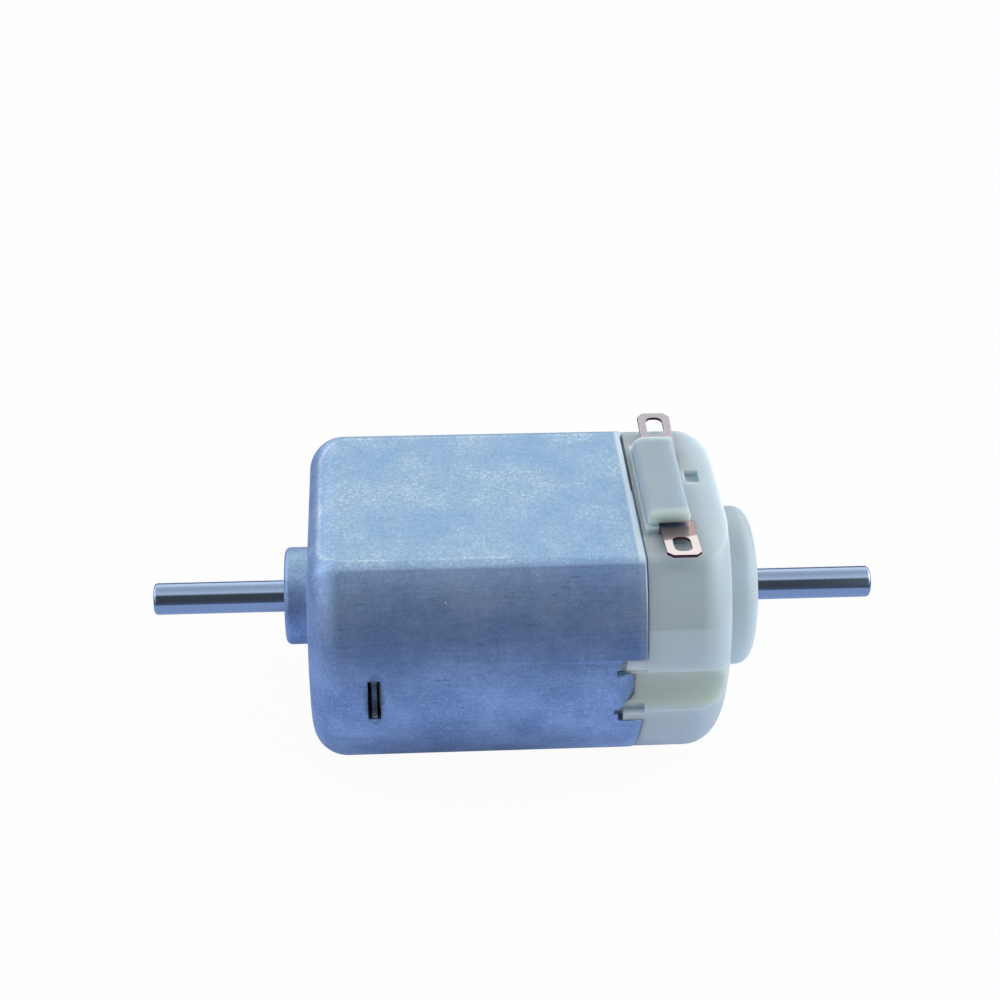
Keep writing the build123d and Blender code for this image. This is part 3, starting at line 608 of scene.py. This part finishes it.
def inner_materials(looks):
    """Finish of each inner slot of the record."""
    return {
        # Oiled sintered bronze: open grains, dull and dark in the pores.
        "sintered_bronze": grainy("oiled_sintered_bronze", looks.bronze_colour, spread=0.35, grit=0.12,
                                  roughness=(0.35, 0.6), depth=0.006, Metallic=1.0),
        # Ground ferrite: a flat dark ceramic with fine grey grit.
        "ferrite": grainy("ground_ferrite", looks.ferrite_colour, spread=0.3, grit=0.15,
                          roughness=(0.5, 0.75), depth=0.004, IOR=2.0),
        # Blued spring strip: dark satin steel.
        "spring_steel": grainy("blued_spring_steel", looks.spring_colour, spread=0.12, grit=0.5,
                               roughness=(0.28, 0.42), depth=0.002, Metallic=1.0),
        # Rolled phosphor bronze: warm satin leaf.
        "phosphor_bronze": grainy("rolled_phosphor_bronze", looks.leaf_colour, spread=0.1, grit=0.4,
                                  roughness=(0.25, 0.38), depth=0.002, Metallic=1.0),
        # Pressed carbon: black, matt and slightly sooty.
        "brush_carbon": grainy("pressed_carbon", looks.carbon_colour, spread=0.4, grit=0.1,
                               roughness=(0.55, 0.8), depth=0.005),
        # Vulcanised fibre: brown, hard and faintly mottled.
        "washer_fibre": grainy("punched_vulcanised_fibre", looks.fibre_colour, spread=0.2, grit=0.3,
                               roughness=(0.5, 0.7), depth=0.004),
        # Phenolic moulding: near black brown with a low sheen.
        "phenolic": grainy("moulded_phenolic", looks.phenolic_colour, spread=0.2, grit=0.35,
                           roughness=(0.35, 0.5), depth=0.002, IOR=1.6),
        # Punched electrical steel: grey with a thin insulating film.
        "core_steel": grainy("punched_electrical_steel", looks.core_colour, spread=0.15, grit=0.6,
                             roughness=(0.38, 0.55), depth=0.003, Metallic=1.0),
        # Enamelled wire: copper seen through glossy amber enamel.
        "enamelled_copper": grainy("enamelled_copper_wire", looks.wire_colour, spread=0.2, grit=0.2,
                                   roughness=(0.18, 0.32), depth=0.008, Metallic=1.0, Coat_Weight=0.6),
        # Turned copper: bright with fine turning marks and a brown brush track.
        "commutator_copper": grainy("turned_copper", looks.segment_colour, spread=0.15, grit=0.25,
                                    roughness=(0.2, 0.35), depth=0.002, Metallic=1.0),
    }


# Modelling

def only(piece):
    """Make the piece the one selected and active object."""
    bpy.ops.object.select_all(action="DESELECT")
    piece.select_set(True)
    bpy.context.view_layer.objects.active = piece


def merged_copy(name, node):
    """A copy of a CAD node's mesh whose loose triangles are merged into whole faces."""
    piece = bpy.data.objects.new(name, frame["nodes"][node].data.copy())
    piece.data.name = name
    piece.data.materials.clear()
    bpy.context.scene.collection.objects.link(piece)
    only(piece)
    bpy.ops.object.mode_set(mode="EDIT")
    bpy.ops.mesh.select_all(action="SELECT")
    bpy.ops.mesh.remove_doubles(threshold=MERGE)
    bpy.ops.mesh.dissolve_limited(angle_limit=SAME_PLANE)
    bpy.ops.mesh.select_all(action="DESELECT")
    bpy.ops.object.mode_set(mode="OBJECT")
    return piece


def round_edges(piece, chosen, radius, segments):
    """Bevel, in edit mode, the sharp edges that the test chooses by their two ends."""
    only(piece)
    bpy.ops.object.mode_set(mode="EDIT")
    bpy.ops.mesh.select_mode(type="EDGE")
    bpy.ops.mesh.select_all(action="DESELECT")
    mesh = bmesh.from_edit_mesh(piece.data)
    for edge in mesh.edges:
        sharp = len(edge.link_faces) == 2 and edge.calc_face_angle() > SHARP
        edge.select = sharp and all(chosen(vertex.co) for vertex in edge.verts)
    bmesh.update_edit_mesh(piece.data)
    bpy.ops.mesh.bevel(offset=radius, segments=segments, affect="EDGES", clamp_overlap=True)
    bpy.ops.object.mode_set(mode="OBJECT")


def brace_flats(piece):
    """Inset the large faces a little, so that the shading at their edges stays there."""
    bpy.ops.object.mode_set(mode="EDIT")
    bpy.ops.mesh.select_mode(type="FACE")
    bpy.ops.mesh.select_all(action="DESELECT")
    mesh = bmesh.from_edit_mesh(piece.data)
    for face in mesh.faces:
        face.select = face.calc_area() > LARGE
    bmesh.update_edit_mesh(piece.data)
    bpy.ops.mesh.inset(thickness=BRACE, use_even_offset=False, use_individual=True)
    bpy.ops.object.mode_set(mode="OBJECT")


def finish_edges(piece, radius):
    """Wear the remaining sharp edges and shade the large faces flat."""
    only(piece)
    bevel = piece.modifiers.new("worn_edges", "BEVEL")
    bevel.width = radius
    bevel.segments = 2
    bevel.limit_method = "ANGLE"
    bevel.angle_limit = SHARP
    bpy.ops.object.modifier_apply(modifier=bevel.name)
    brace_flats(piece)
    bpy.ops.object.shade_smooth_by_angle(angle=SHARP)
    weighted = piece.modifiers.new("flat_faces", "WEIGHTED_NORMAL")
    weighted.keep_sharp = True
    bpy.ops.object.modifier_apply(modifier=weighted.name)


def hand_over(piece, body, node, finish):
    """Give the piece its material and let it stand for its CAD node."""
    piece.data.materials.append(finish)
    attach(piece, body)
    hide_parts(node)


def on_skin(place, high, depth):
    """Whether a point lies within a depth of the can's outer skin."""
    return high.z - abs(place.z) < depth or high.y - math.hypot(place.y, place.z) < depth


def narrow_stops(can, looks):
    """Narrow the lanced strips as the shear leaves them, so that the slits beside them open."""
    only(can)
    bpy.ops.object.mode_set(mode="EDIT")
    bpy.ops.mesh.select_mode(type="VERT")
    bpy.ops.mesh.select_all(action="DESELECT")
    mesh = bmesh.from_edit_mesh(can.data)
    for vertex in mesh.verts:
        vertex.select = abs(vertex.co.x - looks.stop_place) < looks.stop_reach
    mesh.select_flush_mode()
    bmesh.update_edit_mesh(can.data)
    bpy.ops.transform.resize(value=(looks.stop_share, 1, 1), center_override=(looks.stop_place, 0, 0))
    bpy.ops.object.mode_set(mode="OBJECT")


class MOTOR_OT_can(bpy.types.Operator):
    """Steel can: drawn cup with a sheared, rounded rim and worn pierced edges"""
    bl_idname = "motor.can"
    bl_label = "Plated can"

    def execute(self, context):
        looks = context.scene.motor_looks.can
        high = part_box("motor_can")[1]
        can = merged_copy("plated_can", "motor_can")
        narrow_stops(can, looks)
        for rim in (high.x, high.x - looks.rim_step):
            round_edges(can, lambda place: (abs(place.x - rim) < NEAR
                                            and on_skin(place, high, looks.rim_round)),
                        looks.rim_round, segments=4)
        finish_edges(can, looks.edge_round)
        hand_over(can, "stator", "motor_can", zinc_plate(looks, high.x))
        return {"FINISHED"}


class MOTOR_OT_cap(bpy.types.Operator):
    """Nylon end cap with the small roundings that its mould leaves"""
    bl_idname = "motor.cap"
    bl_label = "Nylon cap"

    def execute(self, context):
        looks = context.scene.motor_looks.cap
        cap = merged_copy("nylon_cap", "end_cap")
        finish_edges(cap, looks.edge_round)
        can_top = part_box("motor_can")[1].z
        hand_over(cap, "stator", "end_cap", natural_nylon(looks, can_top))
        return {"FINISHED"}


class MOTOR_OT_shaft(bpy.types.Operator):
    """Ground steel shaft with turned tips"""
    bl_idname = "motor.shaft"
    bl_label = "Ground shaft"

    def execute(self, context):
        looks = context.scene.motor_looks.shaft
        low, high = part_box("shaft")
        bpy.ops.object.select_all(action="DESELECT")
        bpy.ops.mesh.primitive_cylinder_add(vertices=looks.sides, radius=high.z, depth=high.x - low.x,
                                            location=(low + high) / 2, rotation=(0, math.pi / 2, 0))
        shaft = context.object
        shaft.name = shaft.data.name = "ground_shaft"
        bpy.ops.object.transform_apply(location=True, rotation=True, scale=True)
        inner = (low.x + looks.tip_round, high.x - looks.tip_round)
        round_edges(shaft, lambda place: not inner[0] < place.x < inner[1], looks.tip_round, segments=5)
        bpy.ops.object.shade_smooth_by_angle(angle=SHARP)
        hand_over(shaft, "rotor", "shaft", ground_steel(looks))
        return {"FINISHED"}


class MOTOR_OT_tags(bpy.types.Operator):
    """Two stamped copper solder tags"""
    bl_idname = "motor.tags"
    bl_label = "Solder tags"

    def execute(self, context):
        looks = context.scene.motor_looks.tags
        # Only the front tag takes the block's painted shadow.
        for side, tarnish, block_shadowed in (("front", 0.0, 1.0), ("back", 0.7, 0.0)):
            tag = merged_copy(f"solder_tag_{side}", f"terminal_{side}")
            finish_edges(tag, looks.edge_round)
            low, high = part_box(f"terminal_{side}")
            middle = (low.x + high.x) / 2
            copper = rolled_copper(f"stamped_copper_strip_{side}", looks, tarnish, block_shadowed, middle)
            hand_over(tag, "stator", f"terminal_{side}", copper)
        return {"FINISHED"}


class MOTOR_OT_inside(bpy.types.Operator):
    """Finishes of the bushes, magnets, armature and brush gear"""
    bl_idname = "motor.inside"
    bl_label = "Inner pieces"

    def execute(self, context):
        finishes = inner_materials(context.scene.motor_looks.inside)
        for row in frame["record"]["subparts"]:
            if row["material_slot"] in finishes:
                data = frame["nodes"][row["node"]].data
                data.materials.clear()
                data.materials.append(finishes[row["material_slot"]])
        return {"FINISHED"}


# Studio

def floor_paint(looks, middle):
    # Pale matt paint. Seen straight it is mostly lit from within, which keeps it white and leaves the
    # motor's shadow on it. In metal it shows a painted, bluish reflection: a pool of light round the
    # motor, with a painted shadow close to it.
    made, tree, shader, place = material("matt_studio_paint", Roughness=0.9)
    speckle = add(tree, "TexNoise", {"Vector": place, "Scale": grain(looks.speckle_size)})
    pale = solid(looks.floor_colour)
    dull = solid([0.985 * level for level in looks.floor_colour])
    tone = add(tree, "Mix", {0: speckle.outputs["Fac"], MIX_A: dull, MIX_B: pale}, data_type="RGBA")
    tree.links.new(tone.outputs[MIX_OUT], shader.inputs["Base Color"])
    rays = add(tree, "LightPath")
    straight = add(tree, "Math", {0: rays.outputs["Is Camera Ray"],
                                  1: rays.outputs["Is Transmission Ray"]}, operation="MAXIMUM")
    shown = add(tree, "Math", {0: straight.outputs[0], 1: rays.outputs["Is Glossy Ray"]},
                operation="MAXIMUM")
    share = add(tree, "Math", {0: shown.outputs[0], 1: looks.floor_glow}, operation="MULTIPLY")
    away = add(tree, "VectorMath", {0: place, 1: middle}, operation="DISTANCE")
    # Painted shadow close to the motor, in the floor as metal sees it.
    contact_shade = add(tree, "MapRange", {"Value": away.outputs["Value"],
                                   "From Min": 0.6 * looks.contact_shade_reach,
                                   "From Max": looks.contact_shade_reach, "To Min": 0.4})
    pool = add(tree, "MapRange", {"Value": away.outputs["Value"], "From Min": looks.pool_radius,
                                  "From Max": looks.pool_radius + looks.pool_fade,
                                  "To Min": 1.0, "To Max": 0.2})
    metal = add(tree, "Math", {0: contact_shade.outputs[0], 1: pool.outputs[0]}, operation="MULTIPLY")
    level = add(tree, "Mix", {0: rays.outputs["Is Glossy Ray"], VALUE_A: 1.0, VALUE_B: metal.outputs[0]})
    shade = add(tree, "Mix", {0: rays.outputs["Is Glossy Ray"], MIX_A: WHITE,
                              MIX_B: solid(looks.floor_reflection_tint)}, data_type="RGBA")
    glow = add(tree, "Emission", {"Color": shade.outputs[MIX_OUT], "Strength": level.outputs[0]})
    mixed = add(tree, "MixShader", {0: share.outputs[0], 1: shader.outputs[0], 2: glow.outputs[0]})
    tree.links.new(mixed.outputs[0], tree.nodes["Material Output"].inputs["Surface"])
    return made


def studio_world(looks):
    """Soft room light in bands over the motor: dark behind the camera, bright overhead and beyond."""
    world = bpy.data.worlds.new("studio_room")
    world.use_nodes = True
    bpy.context.scene.world = world
    tree = world.node_tree
    way = add(tree, "SeparateXYZ", {0: add(tree, "TexCoord").outputs["Generated"]})
    nearer = add(tree, "Math", {0: way.outputs["Y"], 1: -1.0}, operation="MULTIPLY")
    turn = add(tree, "Math", {0: way.outputs["Z"], 1: nearer.outputs[0]}, operation="ARCTAN2")
    share = add(tree, "MapRange", {"Value": turn.outputs[0], "From Max": math.pi})
    ramp = add(tree, "ValToRGB", {0: share.outputs[0]})
    # Place over the half turn from the camera's horizon to the one beyond, and level in full strength.
    stops = [(0.0, 0.08), (0.325, 0.08), (0.395, 0.74), (0.42, 0.74), (0.55, 0.56), (0.66, 0.56),
             (0.74, 0.7), (0.8, 1.0)]
    elements = ramp.color_ramp.elements
    while len(elements) < len(stops):
        elements.new(0.5)
    for element, (place, level) in zip(elements, stops):
        element.position = place
        element.color = (level, level, level, 1.0)
    level = add(tree, "Math", {0: ramp.outputs[0], 1: looks.room_level}, operation="MULTIPLY").outputs[0]
    for side, added in ((-1, looks.left_level), (1, looks.right_level)):
        wall = add(tree, "MapRange", {"Value": way.outputs["X"], "From Min": side * looks.wall_start,
                                      "From Max": side * looks.wall_full, "To Max": added})
        level = add(tree, "Math", {0: level, 1: wall.outputs[0]}, operation="ADD").outputs[0]
    room = tree.nodes["Background"]
    room.inputs["Color"].default_value = WHITE
    tree.links.new(level, room.inputs["Strength"])


def aimed(place, target):
    """Turn of a light at place that points at target."""
    return (target - place).to_track_quat("-Z", "Y").to_euler()


class MOTOR_OT_stage(bpy.types.Operator):
    """Pale floor with an upturned edge, room light, side light and camera"""
    bl_idname = "motor.stage"
    bl_label = "Studio"

    def execute(self, context):
        looks = context.scene.motor_looks.stage
        low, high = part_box("motor_can")
        middle = (low + high) / 2
        bpy.ops.object.select_all(action="DESELECT")
        bpy.ops.mesh.primitive_circle_add(vertices=128, radius=looks.floor_radius, fill_type="NGON",
                                          location=(middle.x, middle.y, low.z))
        floor = context.object
        floor.name = floor.data.name = "studio_floor"
        bpy.ops.object.transform_apply(location=True, rotation=True, scale=True)
        bpy.ops.object.mode_set(mode="EDIT")
        bpy.ops.mesh.select_mode(type="EDGE")
        bpy.ops.mesh.select_all(action="SELECT")
        bpy.ops.mesh.region_to_loop()
        bpy.ops.mesh.extrude_edges_move(TRANSFORM_OT_translate={"value": (0, 0, looks.cove_height)})
        bpy.ops.object.mode_set(mode="OBJECT")
        floor.data.materials.append(floor_paint(looks, (middle.x, middle.y, low.z)))

        studio_world(looks)
        spread = math.cos(looks.side_elevation)
        way = Vector((spread * math.sin(looks.side_azimuth), spread * math.cos(looks.side_azimuth),
                      math.sin(looks.side_elevation)))
        place = middle + way * looks.side_distance
        bpy.ops.object.light_add(type="AREA", location=place, rotation=aimed(place, middle))
        lamp = context.object
        lamp.name = "side_light"
        lamp.data.size = looks.side_size
        # Power at which a square light of this size shines at its level.
        lamp.data.energy = looks.side_level * math.pi * looks.side_size ** 2

        turn = (Matrix.Rotation(-looks.camera_yaw, 3, "Z")
                @ Matrix.Rotation(math.pi / 2 - looks.camera_pitch, 3, "X")
                @ Matrix.Rotation(looks.camera_roll, 3, "Z"))
        bpy.ops.object.camera_add(location=looks.camera_place, rotation=turn.to_euler())
        camera = context.object
        camera.name = "photo_camera"
        camera.data.sensor_width = 36.0
        camera.data.lens = looks.camera_lens
        camera.data.clip_start = MM
        context.scene.camera = camera
        context.scene.view_settings.view_transform = "Standard"
        return {"FINISHED"}


class VIEW3D_PT_motor(bpy.types.Panel):
    """Sidebar panel with every step and its settings"""
    bl_label = "Small DC motor"
    bl_space_type = "VIEW_3D"
    bl_region_type = "UI"
    bl_category = "Motor"

    def draw(self, context):
        looks = context.scene.motor_looks
        for step in STEPS:
            part = step.bl_idname.split(".")[1]
            box = self.layout.box()
            box.operator(step.bl_idname)
            for name in getattr(looks, part).__annotations__:
                box.prop(getattr(looks, part), name)


STEPS = (MOTOR_OT_can, MOTOR_OT_cap, MOTOR_OT_shaft, MOTOR_OT_tags, MOTOR_OT_inside, MOTOR_OT_stage)
CLASSES = (CanLooks, CapLooks, ShaftLooks, TagLooks, InsideLooks, StageLooks, MotorLooks, *STEPS,
           VIEW3D_PT_motor)


def register():
    for kind in CLASSES:
        bpy.utils.register_class(kind)
    bpy.types.Scene.motor_looks = PointerProperty(type=MotorLooks)


def unregister():
    del bpy.types.Scene.motor_looks
    for kind in reversed(CLASSES):
        bpy.utils.unregister_class(kind)


def main():
    register()
    bpy.ops.motor.can()
    bpy.ops.motor.cap()
    bpy.ops.motor.shaft()
    bpy.ops.motor.tags()
    bpy.ops.motor.inside()
    bpy.ops.motor.stage()


if __name__ == "__main__":
    main()
